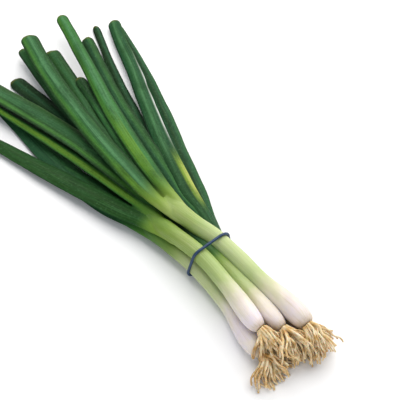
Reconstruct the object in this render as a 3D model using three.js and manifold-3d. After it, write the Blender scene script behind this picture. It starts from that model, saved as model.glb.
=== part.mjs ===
// A bunch of six spring onions held by one rubber band, lying on a flat surface.
// Millimetres, +Z up. The leaves point along +Y and the roots along -Y. Every route below is given from the
// point on the surface under the middle of the band, and the bunch is moved to its own middle at the end.

import * as THREE from 'three';
import { mergeVertices } from 'three/addons/utils/BufferGeometryUtils.js';
import Module from 'manifold-3d';

const wasm = await Module();
wasm.setup();

// ---------------------------------------------------------------- driving dimensions

const GAP = 0.3;                 // clearance between pieces that press on each other
const SURFACE = 0;               // height of what the bunch lies on
const MERGE = 0.02;              // facets that differ by less than this are made one

const BULB_BELLY = 13;           // from the basal plate to the widest part of a bulb
const BULB_LENGTH = 44;          // from the basal plate to where the bulb has become the shank
const BASE_SHARE = 0.55;         // basal plate's radius as a share of the bulb's
const NECK_LENGTH = 34;          // stretch over which a shank flattens before its leaves part
const NECK_WIDENING = 1.1;       // neck's half width as a multiple of the shank's radius
const NECK_FLATTENING = 0.78;    // neck's half thickness as a multiple of the shank's radius
const SHANK_SIDES = 12;
const SHANK_STATIONS = 13;

const LEAF_FOOT_THICKNESS = 6.4; // a leaf's thickness inside the neck
const LEAF_THICKNESS = 4.6;      // the same where the leaf has opened
const LEAF_TIP_THICKNESS = 3.0;  // the same at its trimmed tip
const LEAF_FOOT_WIDTH = 0.62;    // a leaf's width at its foot, as a share of its full width
const LEAF_OPENING = 50;         // distance from the foot over which a leaf widens
const LEAF_TAPER_START = 0.3;    // share of the length after which a leaf narrows
const LEAF_TIP = 7;              // length of the rounded end
const RIDGE = 1.5;               // power that shapes the ridged upper face
const BELLY = 2.6;               // power that shapes the rounder under face
const LEAF_SIDES = 10;
const LEAF_STATIONS = 14;

const PLATE_THICKNESS = 2.6;     // corky plate that the roots grow from
const ROOT_RADIUS = 0.75;
const ROOTS_PER_TUFT = 13;
const ROOT_SIDES = 3;
const ROOT_STEPS = 5;
const ROOT_SHORTEST = 14;
const ROOT_LONGEST = 27;
const ROOT_SPREAD = 0.75;        // sideways lean of the outermost roots
const ROOT_CURL = 0.55;          // how far a root may wander from its lean
const ROOT_DROOP = 0.22;         // how much a root falls over its length
const ROOT_CLEARANCE = 2.6;      // between the middles of roots of different tufts
const GOLDEN_ANGLE = Math.PI * (3 - Math.sqrt(5));

const BAND_RADIUS = 1.0;         // rubber cord
const BAND_STEPS = 48;
const BAND_SIDES = 6;

// ---------------------------------------------------------------- colours and finishes

const finish = (color, roughness) => new THREE.MeshStandardMaterial({ color, roughness, metalness: 0 });
const SHANK_FINISH = finish(0xe6ecd2, 0.45);
const LEAF_FINISH = finish(0x3f7a4c, 0.5);
const ROOT_FINISH = finish(0xc9a45f, 0.85);
const BAND_FINISH = finish(0x33517f, 0.5);

// ---------------------------------------------------------------- the onions
// shank: route of the middle line from the basal plate to the neck. radius is the shank's, bulb the bulb's.
// neck and widening are for an onion whose neck is not like the others': the stretch over which its shank
// flattens, and its neck's half width as a multiple of the shank's radius.
// leaves: uppermost first; each has its route from inside the neck to its tip, its width where it is full and
// at its tip, and its roll about its own length in degrees, at the foot and at the tip. foot is its width at
// the foot as a share of its full width, where that is not LEAF_FOOT_WIDTH.

const ONIONS = [
  {
    name: 'onion_right', radius: 6.1, bulb: 8.1, neck: 26, widening: 1.35,
    shank: [[14.4, -83, 18.8], [14.9, -70, 19.4], [11.6, -41, 20.2], [9.3, 0, 20.8], [4.4, 23, 20.9],
      [1.2, 47, 21.2]],
    leaves: [
      { widths: [14.8, 14], roll: [0, 0],
        route: [[-2.4, 38, 21.4], [-5.4, 62, 22.4], [-5.6, 90, 22.8], [-4.6, 124, 21.6],
          [-1, 166, 19.6], [4, 203, 17.8], [12, 241, 15.6]] },
      { widths: [12.6, 9.4], roll: [0, 8],
        route: [[6.8, 38, 20.6], [7.3, 66, 20.8], [11.8, 102, 20.8], [19.6, 144, 20], [30, 185, 18.4],
          [44, 243, 15.8]] },
      { widths: [11, 8.4], roll: [0, 0],
        route: [[1.6, 40, 18.2], [5, 75, 17], [10.6, 120, 16], [15, 150, 15.2], [19.4, 182, 14.6]] },
    ],
  },
  {
    name: 'onion_middle', radius: 5.7, bulb: 6.8,
    shank: [[-10.4, -67, 19.4], [-10.6, -56, 20], [-7.8, -30, 20], [-7.2, 0, 20.2], [-9.8, 22, 18],
      [-12.4, 46, 15]],
    leaves: [
      { widths: [14.6, 8.4], roll: [0, -12],
        route: [[-9.4, 38, 15.6], [-10, 60, 13], [-14, 94, 9.8], [-23.2, 135, 8.4], [-35, 178, 8],
          [-49.4, 229, 7.6]] },
      { widths: [15.6, 9], foot: 0.9, roll: [0, -6],
        route: [[-13.8, 38, 14], [-18.2, 53, 11.8], [-24.2, 68.5, 9.8], [-32.6, 95, 7.2],
          [-43.2, 127, 5], [-56.4, 167, 3], [-71, 213, 1.6]] },
    ],
  },
  {
    name: 'onion_inner', radius: 5.5, bulb: 6.2,
    shank: [[1.3, -74.6, 17.7], [1, -62.4, 18.2], [2, -35, 17.8], [1.3, 0, 16.6], [2, 24, 12.8],
      [3.4, 48, 11]],
    leaves: [
      { widths: [17.4, 18], roll: [0, -14],
        route: [[0.4, 40, 13.8], [-4.4, 64, 15.4], [-8.8, 96, 15.2], [-13.8, 130, 13.6],
          [-22, 164, 12.6], [-31.8, 198.5, 11.8], [-43.8, 238, 10.8]] },
      { widths: [12.8, 12], roll: [0, 6],
        route: [[4.8, 38, 12], [4.4, 66, 12.6], [2.6, 98, 13.8], [4.4, 134, 13.4], [11.4, 172, 12.8],
          [19, 220, 11.8]] },
      { widths: [12, 10.6], roll: [0, -10],
        route: [[4.4, 38, 9.6], [2.6, 68, 8.6], [-0.6, 102, 8.8], [-2, 140, 8.8], [-1, 186, 8.6],
          [4.4, 238, 8]] },
    ],
  },
  {
    name: 'onion_left', radius: 5.6, bulb: 7.3,
    shank: [[-16.9, -77.2, 7.2], [-16.4, -63, 7.3], [-11.8, -34, 7.3], [-11, 0, 8.6], [-13.8, 24, 8.6],
      [-18.4, 48, 8]],
    leaves: [
      { widths: [18.5, 14], roll: [0, -4],
        route: [[-17.6, 39, 7.4], [-21.6, 62, 4.8], [-27.6, 88, 3], [-32, 118, 2.2], [-34.2, 150, 1.8],
          [-35.2, 184, 1.6], [-36.6, 214, 1.5]] },
      { widths: [11, 8], roll: [0, 0],
        route: [[-15, 39, 5.8], [-18, 66, 4.4], [-21.8, 90, 3], [-26.4, 111, 2.2], [-33.4, 133, 1.6],
          [-39.4, 150, 1.3]] },
    ],
  },
  {
    name: 'onion_under_left', radius: 5.7, bulb: 6.6,
    shank: [[-0.4, -71, 5.8], [-0.4, -60, 5.9], [0, -30, 6.8], [0, 0, 8.1], [-1.2, 24, 7.2],
      [-3.6, 48, 5.6]],
    leaves: [
      { widths: [13, 12.4], roll: [0, 0],
        route: [[-1.6, 38, 6.2], [-0.2, 66, 5], [0, 98, 4.2], [-3, 134, 3], [-8, 172, 1.8],
          [-15.4, 221, 1.3]] },
      { widths: [10, 7], roll: [0, 0],
        route: [[-6.4, 38, 5.2], [-9.6, 70, 3.8], [-14.4, 108, 2.2], [-20, 144, 1.4]] },
    ],
  },
  {
    name: 'onion_under_right', radius: 5.8, bulb: 6.9, neck: 13,
    shank: [[14.4, -78, 6], [13.7, -65, 6.2], [11.8, -34, 7.4], [11.2, 0, 9.6], [14, 15, 10]],
    leaves: [
      { widths: [13.6, 10.4], foot: 0.5, roll: [0, 14],
        route: [[13.6, 5, 11], [16, 16, 11.4], [18.4, 30, 11.2], [20.8, 48, 10.8], [26.4, 70, 10.2],
          [35.8, 102, 9], [47.6, 134.8, 7.6], [61, 171, 6.2], [70.6, 201.5, 5.4], [79, 222.5, 4.8]] },
      { widths: [12.6, 10], foot: 0.5, roll: [0, 6],
        route: [[11.4, 5, 10], [13.4, 16, 10.4], [14.6, 34, 10.2], [15.8, 54, 9.6], [19.2, 70, 9.2],
          [25.8, 110, 8], [33.8, 155, 6.4], [44.6, 195.5, 5], [51.7, 220.7, 4.6]] },
      { widths: [12, 7], foot: 0.5, roll: [0, 4],
        route: [[14.4, 5, 8.8], [17.6, 12, 8.6], [21.4, 26, 8], [25.4, 39, 7.2], [33.4, 62, 5.4],
          [40.8, 85, 4], [52.4, 116, 2.4], [65.4, 157, 1.7], [75, 194, 1.4], [80, 219, 1.3]] },
      { widths: [11, 6.2], foot: 0.5, roll: [0, 0],
        route: [[12, 5, 7.8], [13.6, 16, 7.4], [17.4, 38, 6.4], [22.8, 78, 4.2], [28.4, 104, 3],
          [39.4, 144, 2], [50.4, 183, 1.5], [66, 229, 1.2]] },
    ],
  },
];

// ---------------------------------------------------------------- small helpers

const smooth = (x) => THREE.MathUtils.smoothstep(x, 0, 1);

function seededRandom(seed) {
  let state = seed;
  return () => {
    state = (state * 1664525 + 1013904223) % 4294967296;
    return state / 4294967296;
  };
}

function routeThrough(points) {
  return new THREE.CatmullRomCurve3(points.map((p) => new THREE.Vector3(...p)), false, 'catmullrom', 0.5);
}

// Middle point, sideways direction and upward direction at one place on a route.
function frameAt(route, t, roll) {
  const along = route.getTangent(t);
  const side = new THREE.Vector3().crossVectors(along, new THREE.Vector3(0, 0, 1)).normalize();
  const rise = new THREE.Vector3().crossVectors(side, along);
  const turn = THREE.MathUtils.degToRad(roll);
  side.applyAxisAngle(along, -turn);
  rise.applyAxisAngle(along, -turn);
  return { middle: route.getPoint(t), along, side, rise };
}

// One closed skin over a list of rings, each an array of the same number of points.
function skinOver(rings) {
  const sides = rings[0].length;
  const positions = rings.flat().flatMap((p) => [p.x, p.y, p.z]);
  const centreOf = (ring) => ring.reduce((sum, p) => sum.add(p), new THREE.Vector3()).divideScalar(sides);
  const first = centreOf(rings[0]);
  const last = centreOf(rings[rings.length - 1]);
  positions.push(first.x, first.y, first.z, last.x, last.y, last.z);
  const firstIndex = rings.length * sides;
  const lastRing = (rings.length - 1) * sides;
  const triangles = [];
  for (let j = 0; j < sides; j += 1) {
    const k = (j + 1) % sides;
    for (let i = 0; i < lastRing; i += sides) {
      triangles.push(i + j, i + sides + j, i + k);
      triangles.push(i + k, i + sides + j, i + sides + k);
    }
    triangles.push(firstIndex, j, k);
    triangles.push(firstIndex + 1, lastRing + k, lastRing + j);
  }
  const geometry = new THREE.BufferGeometry();
  geometry.setAttribute('position', new THREE.Float32BufferAttribute(positions, 3));
  geometry.setIndex(triangles);
  return geometry;
}

function solidFrom(geometry) {
  const bare = geometry.clone();
  bare.deleteAttribute('normal');
  bare.deleteAttribute('uv');
  const merged = mergeVertices(bare, 1e-5);
  const index = merged.index.array;
  const triangles = [];
  for (let i = 0; i < index.length; i += 3) {
    const [a, b, c] = index.slice(i, i + 3);
    if (a !== b && b !== c && a !== c) triangles.push(a, b, c);
  }
  const mesh = new wasm.Mesh({
    numProp: 3,
    vertProperties: merged.attributes.position.array,
    triVerts: new Uint32Array(triangles),
  });
  return new wasm.Manifold(mesh);
}

// The largest body of a solid: a cut may leave crumbs.
function mainBody(solid) {
  const bodies = solid.decompose();
  bodies.sort((a, b) => b.volume() - a.volume());
  return bodies[0];
}

function meshFrom(name, solid, material) {
  const { vertProperties, triVerts } = mainBody(solid.simplify(MERGE)).getMesh();
  const geometry = new THREE.BufferGeometry();
  geometry.setAttribute('position', new THREE.BufferAttribute(vertProperties, 3));
  geometry.setIndex(new THREE.BufferAttribute(triVerts, 1));
  geometry.computeVertexNormals();
  const mesh = new THREE.Mesh(geometry, material);
  mesh.name = name;
  return mesh;
}

function boxesMeet(a, b) {
  const p = a.boundingBox();
  const q = b.boundingBox();
  return [0, 1, 2].every((axis) => p.min[axis] < q.max[axis] && q.min[axis] < p.max[axis]);
}

// ---------------------------------------------------------------- leaves

// Half width of a leaf at a distance from its foot.
function leafHalfWidth(leaf, distance, length) {
  const opening = THREE.MathUtils.lerp(leaf.foot ?? LEAF_FOOT_WIDTH, 1, smooth(distance / LEAF_OPENING));
  const narrowing = smooth((distance / length - LEAF_TAPER_START) / (1 - LEAF_TAPER_START));
  const width = THREE.MathUtils.lerp(...leaf.widths, narrowing);
  const intoTip = THREE.MathUtils.clamp((distance - length + LEAF_TIP) / LEAF_TIP, 0, 1);
  return (width / 2) * opening * Math.sqrt(1 - 0.8 * intoTip ** 3);
}

function leafHalfThickness(distance, length) {
  const opened = THREE.MathUtils.lerp(LEAF_FOOT_THICKNESS, LEAF_THICKNESS, smooth(distance / LEAF_OPENING));
  return THREE.MathUtils.lerp(opened, LEAF_TIP_THICKNESS, distance / length) / 2;
}

// A flattened tube: ridged above, rounder below, pressed flat where it would sink into the surface.
function leafSolid(leaf, grow = 0) {
  const route = routeThrough(leaf.route);
  const length = route.getLength();
  const rings = [];
  for (let i = 0; i <= LEAF_STATIONS; i += 1) {
    const t = i === LEAF_STATIONS ? 1 : Math.min(i / (LEAF_STATIONS - 1), 1 - 0.4 * LEAF_TIP / length);
    const distance = t * length;
    const { middle, along, side, rise } = frameAt(route, t, THREE.MathUtils.lerp(...leaf.roll, t));
    const halfWidth = leafHalfWidth(leaf, distance, length) + grow;
    const halfThickness = leafHalfThickness(distance, length) * (i === LEAF_STATIONS ? 0.6 : 1) + grow;
    const end = (i === LEAF_STATIONS) - (i === 0);
    const ring = [];
    for (let j = 0; j < LEAF_SIDES; j += 1) {
      const angle = (2 * Math.PI * (j + 0.5)) / LEAF_SIDES;
      const across = Math.cos(angle);
      const above = Math.sin(angle) > 0;
      const height = (above ? 1 : -1) * (1 - Math.abs(across) ** (above ? RIDGE : BELLY));
      const point = middle.clone()
        .addScaledVector(along, end * grow)
        .addScaledVector(side, across * halfWidth)
        .addScaledVector(rise, height * halfThickness);
      point.z = Math.max(point.z, SURFACE - grow);
      ring.push(point);
    }
    rings.push(ring);
  }
  return solidFrom(skinOver(rings));
}

// ---------------------------------------------------------------- shanks

// Radius of bulb and shank at a distance from the basal plate.
function shankRadius(onion, distance) {
  const swelling = 1 - smooth((distance - BULB_BELLY) / (BULB_LENGTH - BULB_BELLY));
  const radius = THREE.MathUtils.lerp(onion.radius, onion.bulb, swelling);
  const towardsBase = THREE.MathUtils.clamp(1 - distance / BULB_BELLY, 0, 1);
  return radius * Math.sqrt(1 - (1 - BASE_SHARE ** 2) * towardsBase ** 2.4);
}

function shankSolid(onion, grow = 0) {
  const route = routeThrough(onion.shank);
  const length = route.getLength();
  const flattening = onion.neck ?? NECK_LENGTH;
  const widening = onion.widening ?? NECK_WIDENING;
  const rings = [];
  for (let i = 0; i <= SHANK_STATIONS; i += 1) {
    const t = (i / SHANK_STATIONS) ** 1.25;
    const distance = t * length;
    const radius = shankRadius(onion, distance);
    const neck = smooth((distance - length + flattening) / flattening);
    const halfWidth = radius * THREE.MathUtils.lerp(1, widening, neck) + grow;
    const halfThickness = radius * THREE.MathUtils.lerp(1, NECK_FLATTENING, neck) + grow;
    const { middle, along, side, rise } = frameAt(route, t, 0);
    const end = (i === SHANK_STATIONS) - (i === 0);
    const ring = [];
    for (let j = 0; j < SHANK_SIDES; j += 1) {
      const angle = (2 * Math.PI * (j + 0.5)) / SHANK_SIDES;
      const point = middle.clone()
        .addScaledVector(along, end * grow)
        .addScaledVector(side, Math.cos(angle) * halfWidth)
        .addScaledVector(rise, Math.sin(angle) * halfThickness);
      point.z = Math.max(point.z, SURFACE - grow);
      ring.push(point);
    }
    rings.push(ring);
  }
  return solidFrom(skinOver(rings));
}

// ---------------------------------------------------------------- roots

function rootSolid(points) {
  const rings = points.map((middle, i) => {
    const ahead = points[Math.min(i + 1, points.length - 1)];
    const behind = points[Math.max(i - 1, 0)];
    const along = ahead.clone().sub(behind).normalize();
    const side = new THREE.Vector3().crossVectors(along, new THREE.Vector3(0, 0, 1)).normalize();
    const rise = new THREE.Vector3().crossVectors(side, along);
    const radius = ROOT_RADIUS * THREE.MathUtils.lerp(1, 0.6, i / (points.length - 1));
    return Array.from({ length: ROOT_SIDES }, (unused, j) => {
      const angle = Math.PI / 2 + (2 * Math.PI * j) / ROOT_SIDES;
      return middle.clone()
        .addScaledVector(side, Math.cos(angle) * radius)
        .addScaledVector(rise, Math.sin(angle) * radius);
    });
  });
  return solidFrom(skinOver(rings));
}

// One root's middle line: it leaves the plate, leans outwards, wanders and droops.
function rootLine(start, lean, outward, random) {
  const length = THREE.MathUtils.lerp(ROOT_SHORTEST, ROOT_LONGEST, random());
  const step = length / ROOT_STEPS;
  const heading = outward.clone().addScaledVector(lean, ROOT_SPREAD * (0.6 + 0.6 * random()));
  const wander = new THREE.Vector3(random() - 0.5, random() - 0.5, random() - 0.5).multiplyScalar(ROOT_CURL);
  const points = [start.clone().addScaledVector(outward, -PLATE_THICKNESS * 0.6)];
  const tip = start.clone();
  for (let i = 0; i < ROOT_STEPS; i += 1) {
    heading.addScaledVector(wander, 0.5);
    heading.z -= ROOT_DROOP;
    heading.normalize();
    tip.addScaledVector(heading, step);
    tip.z = Math.max(tip.z, SURFACE + ROOT_RADIUS + 0.1);
    points.push(tip.clone());
    if (i === 2) wander.multiplyScalar(-1.6);
  }
  return points;
}

function distanceToBulb(point, onion) {
  const axis = new THREE.Line3(new THREE.Vector3(...onion.shank[0]), new THREE.Vector3(...onion.shank[1]));
  const nearest = axis.closestPointToPoint(point, true, new THREE.Vector3());
  return point.distanceTo(nearest);
}

// The corky plate and its roots, in one solid. Roots that would touch another onion are drawn again.
function tuftSolid(onion, seed, taken) {
  const random = seededRandom(seed);
  const route = routeThrough(onion.shank);
  const { middle, along, side, rise } = frameAt(route, 0, 0);
  const outward = along.clone().negate();
  const plateRadius = onion.bulb * BASE_SHARE;
  const plate = new THREE.LatheGeometry([
    new THREE.Vector2(0, 0),
    new THREE.Vector2(plateRadius * 0.96, 0),
    new THREE.Vector2(plateRadius, PLATE_THICKNESS * 0.45),
    new THREE.Vector2(plateRadius * 0.7, PLATE_THICKNESS),
    new THREE.Vector2(0, PLATE_THICKNESS * 1.2),
  ], SHANK_SIDES);
  const stand = new THREE.Matrix4().makeBasis(side, outward, rise.clone().negate());
  stand.setPosition(middle.clone().addScaledVector(outward, GAP));
  let tuft = solidFrom(plate.applyMatrix4(stand));
  if (tuft.volume() < 0) throw new Error(`the plate of ${onion.name} is inside out`);
  const own = [];
  for (let i = 0; i < ROOTS_PER_TUFT; i += 1) {
    const angle = i * GOLDEN_ANGLE;
    const share = Math.sqrt((i + 0.5) / ROOTS_PER_TUFT);
    const lean = side.clone().multiplyScalar(Math.cos(angle)).addScaledVector(rise, Math.sin(angle));
    const start = middle.clone()
      .addScaledVector(outward, GAP + PLATE_THICKNESS * 0.9)
      .addScaledVector(lean, share * plateRadius * 0.72);
    lean.multiplyScalar(share);
    for (let attempt = 0; attempt < 60; attempt += 1) {
      const line = rootLine(start, lean, outward, random);
      const neighbours = ONIONS.filter((other) => other !== onion);
      const free = line.slice(1).every((p) => (
        taken.every((q) => p.distanceTo(q) > ROOT_CLEARANCE)
        && neighbours.every((other) => distanceToBulb(p, other) > other.bulb + ROOT_RADIUS + GAP)
      ));
      if (free) {
        tuft = tuft.add(rootSolid(line));
        for (let k = 1; k < line.length; k += 1) {
          own.push(line[k], line[k].clone().lerp(line[k - 1], 0.5));
        }
        break;
      }
    }
  }
  taken.push(...own);
  return tuft;
}

// ---------------------------------------------------------------- rubber band

// The band runs over whichever shank stands out furthest in each direction.
function bandSolid() {
  const crossing = ONIONS.map((onion) => {
    const route = routeThrough(onion.shank);
    let low = 0;
    let high = 1;
    for (let i = 0; i < 30; i += 1) {
      const mid = (low + high) / 2;
      if (route.getPoint(mid).y < 0) low = mid;
      else high = mid;
    }
    const reach = onion.radius + GAP + BAND_RADIUS;
    return { middle: route.getPoint(low), reach };
  });
  const corners = [];
  for (let i = 0; i < BAND_STEPS; i += 1) {
    const angle = (2 * Math.PI * i) / BAND_STEPS;
    const across = Math.cos(angle);
    const up = Math.sin(angle);
    const stretch = (c) => c.middle.x * across + c.middle.z * up + c.reach;
    const furthest = crossing.reduce((best, c) => (stretch(c) > stretch(best) ? c : best));
    corners.push(new THREE.Vector3(
      furthest.middle.x + across * furthest.reach, 0, furthest.middle.z + up * furthest.reach));
  }
  const triangles = [];
  const positions = [];
  const pieces = corners.length;
  corners.forEach((corner, i) => {
    const ahead = corners[(i + 1) % pieces];
    const behind = corners[(i + pieces - 1) % pieces];
    const along = ahead.clone().sub(behind).normalize();
    const outward = new THREE.Vector3(along.z, 0, -along.x);
    for (let j = 0; j < BAND_SIDES; j += 1) {
      const angle = (2 * Math.PI * j) / BAND_SIDES;
      const point = corner.clone().addScaledVector(outward, Math.cos(angle) * BAND_RADIUS);
      point.y += Math.sin(angle) * BAND_RADIUS;
      positions.push(point.x, point.y, point.z);
      const here = i * BAND_SIDES;
      const next = ((i + 1) % pieces) * BAND_SIDES;
      const k = (j + 1) % BAND_SIDES;
      triangles.push(here + j, here + k, next + j);
      triangles.push(here + k, next + k, next + j);
    }
  });
  const geometry = new THREE.BufferGeometry();
  geometry.setAttribute('position', new THREE.Float32BufferAttribute(positions, 3));
  geometry.setIndex(triangles);
  return solidFrom(geometry);
}

// ---------------------------------------------------------------- the bunch

// Pieces are taken from the top of the pile down. Each gives way to those already laid, so that a leaf or a
// shank is pressed in where a neighbour lies against it.
function cutBy(solid, laid) {
  return laid.filter((other) => boxesMeet(solid, other)).reduce((rest, other) => rest.subtract(other), solid);
}

const bunch = new THREE.Group();
const laid = [];

ONIONS.forEach((onion) => {
  onion.leaves.forEach((leaf, i) => {
    const solid = cutBy(leafSolid(leaf), laid);
    bunch.add(meshFrom(`${onion.name}_leaf_${i + 1}`, solid, LEAF_FINISH));
    laid.push(leafSolid(leaf, GAP));
  });
});

ONIONS.forEach((onion) => {
  const solid = cutBy(shankSolid(onion), laid);
  bunch.add(meshFrom(`${onion.name}_shank`, solid, SHANK_FINISH));
  laid.push(shankSolid(onion, GAP));
});

const rootPoints = [];
ONIONS.forEach((onion, i) => {
  bunch.add(meshFrom(`${onion.name}_roots`, tuftSolid(onion, 11 + i, rootPoints), ROOT_FINISH));
});

bunch.add(meshFrom('rubber_band', bandSolid(), BAND_FINISH));

const extent = new THREE.Box3().setFromObject(bunch);
const centre = extent.getCenter(new THREE.Vector3());
bunch.position.set(-centre.x, -centre.y, -extent.min.z);

export default bunch;
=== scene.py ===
"""Spring onion bunch: six onions with their leaves and roots, tied with a rubber band, on a pale floor."""
import math
import random

import bmesh
import bpy
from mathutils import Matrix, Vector, noise
from mathutils.bvhtree import BVHTree
from mathutils.interpolate import poly_3d_calc


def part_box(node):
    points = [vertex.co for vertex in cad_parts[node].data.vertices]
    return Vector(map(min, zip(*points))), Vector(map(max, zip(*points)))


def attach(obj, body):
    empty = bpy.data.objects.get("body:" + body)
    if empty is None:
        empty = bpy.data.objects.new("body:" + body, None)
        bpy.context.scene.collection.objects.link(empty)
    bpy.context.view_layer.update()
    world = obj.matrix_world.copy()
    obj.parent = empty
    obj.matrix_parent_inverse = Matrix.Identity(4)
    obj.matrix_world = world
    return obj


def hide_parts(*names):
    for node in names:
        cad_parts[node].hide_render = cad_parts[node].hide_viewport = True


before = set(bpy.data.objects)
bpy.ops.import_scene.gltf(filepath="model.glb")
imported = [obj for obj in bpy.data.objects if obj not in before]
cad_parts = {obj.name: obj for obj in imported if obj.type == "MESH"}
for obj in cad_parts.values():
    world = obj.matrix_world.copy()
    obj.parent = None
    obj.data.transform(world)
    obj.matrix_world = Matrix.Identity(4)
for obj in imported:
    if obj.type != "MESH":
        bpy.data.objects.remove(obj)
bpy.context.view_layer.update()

MM = 0.001

# ---- sizes, in millimetres unless said
BULB_BELLY = 13.0  # from the basal plate to the widest part of a bulb
BULB_LENGTH = 44.0  # from the basal plate to where the bulb has become the shank
BASE_SHARE = 0.55  # basal plate's radius as a share of the bulb's
NECK_LENGTH = 34.0  # stretch over which a shank flattens before its leaves part
NECK_WIDENING = 1.1
NECK_FLATTENING = 0.78
CROTCH_LENGTH = 4.0  # wedge of sheath that closes the fork between two leaves
CROTCH_START = 14.0  # how far before the end of the solid neck the sheath starts to thin
CROTCH_WIDTH = 0.34  # what is left of its width and thickness at the wedge's edge, as shares
CROTCH_THICKNESS = 0.2
CROTCH_RINGS = 7
SHANK_SIDES = 24
SHANK_STEP = 7.0
BULB_RINGS = (0, 0.5, 1.4, 2.8, 4.6, 7, 10, 13, 17, 22, 28, 35, 43)
SHANK_BULGES = (0.4, 6.0)  # depth and reach of the uneven growth
DISH_RIM = 0.9  # the basal end is dished inside a rim this wide
DISH_DEPTH = 0.8
CREASES = 3
CREASE_DEPTH = 0.3
CREASE_START = (10, 40)
CREASE_STOP = 4  # before the shank's end

LEAF_FOOT_THICKNESS = 6.4
LEAF_THICKNESS = 4.6
LEAF_TIP_THICKNESS = 3.0
LEAF_FOOT_WIDTH = 0.62  # a leaf's width at its foot, as a share of its full width
LEAF_OPENING = 50.0  # distance from the foot over which a leaf widens
LEAF_TAPER_START = 0.3  # share of the length after which a leaf narrows
LEAF_TIP = 7.0  # length of the rounded end
LEAF_TIP_STEPS = (0.72, 0.46, 0.24, 0.1, 0.03)  # shares of it that are left at each ring
LEAF_TIP_ROUNDING = 0.8
LEAF_TIP_THINNING = 0.3
TIP_SLANT = 16  # a tip is cut up to this many degrees askew
TIP_RIM = (0.25, 0.97, 0.9)  # move, and scale in width and thickness
TIP_HOLLOW = ((-2.2, 1.05, 1.05), (-5, 1.1, 1.1), (-6, 0.8, 0.8))
TIP_OPEN = 0.35  # at least this share of a tip's thickness is open
LEAF_WALL = 0.7
LEAF_SIDES = 20
LEAF_STEP = 6.5
RIDGE_ROUNDNESS = 1.6  # powers of the section's curve above and below
BELLY_ROUNDNESS = 2.6
LEAF_BULGES = (0.35, 5.0)
DENT_EVERY = 24
DENT_PLACE = (0.3, 0.95)  # as shares of the leaf's length
DENT_ASIDE = 0.6  # as a share of its half width
DENT_DEPTH = (0.2, 0.5)
DENT_REACH = (7, 13)
BLADE_START = 20.0  # a blade starts this far up, inside the fork it grows from
BLADE_FREE = 31.0  # and has its full size from here
BLADE_SUNK = 0.5
FORK_END = 36.0
FORK_SWELL = 0.15
FORK_ROOT = 16.0  # stretch over which a fork swells out of the neck
FORK_ROOT_SUNK = 1.5
FORK_STEP = 5
SKIN_GRAIN = 0.6  # facet size of the skin that covers shank and forks
SKIN_SMOOTHING = 6
FORK_SMOOTHING = 34  # more of it where the leaves part:
PARTING_PAST = 5.0  # round a place this far past the leaves' feet,
PARTING_REACH = 26.0  # this far to either side,
PARTING_FADE = 14.0  # and less of it over this stretch
FORK_REACH = 20.0  # a fork's root goes this far back inside the neck, before its leaf's own foot
FORK_CLOSING = 0.35  # and there it has come this near to the neck's middle, as a share of its distance

PLATE_THICKNESS = 2.6
PLATE_RINGS = ((0.5, 1.04), (1.0, 0.98), (1.0, 0.84), (0.6, 0.6))  # depth and scale of each
PLATE_ROUGHNESS = 0.35
ROOTS_PER_TUFT = 88
ROOT_THICK = 0.95  # radius where a root leaves the plate
ROOT_THIN = 0.58  # radius at its tip
ROOT_SHORTEST = 10.0
ROOT_LONGEST = 25.0
ROOT_STEPS = 12
ROOT_SPREAD = 0.8
ROOT_CURL = 0.6
ROOT_TURN = -1.4  # halfway a root curls back this many times as much
ROOT_DROOP = 0.1
ROOT_LOCKS = 9  # roots of a tuft hang together in this many locks
ROOT_WAVE = 1.0  # how far a root swings to either side
ROOT_WAVE_GROWTH = 7  # stretch over which the swing grows to that
ROOT_WAVE_LENGTH = 15.0
ROOT_LIFT = 0.15  # least gap between a root and the surface
ROOT_SIZES = (0.55, 0.8, 0.95, 1.1, 1.25)
ROOT_CLEARANCE = 0.7  # from the other onions' bulbs
GOLDEN_ANGLE = math.pi * (3 - math.sqrt(5))

BAND_RADIUS = 1.0
BAND_GAP = 0.05
BAND_STEPS = 96

# The routes are measured from the point on the surface under the band's middle.
BAND_ASIDE = 0.2  # the band's own middle stands this far to the side of that point

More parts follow.
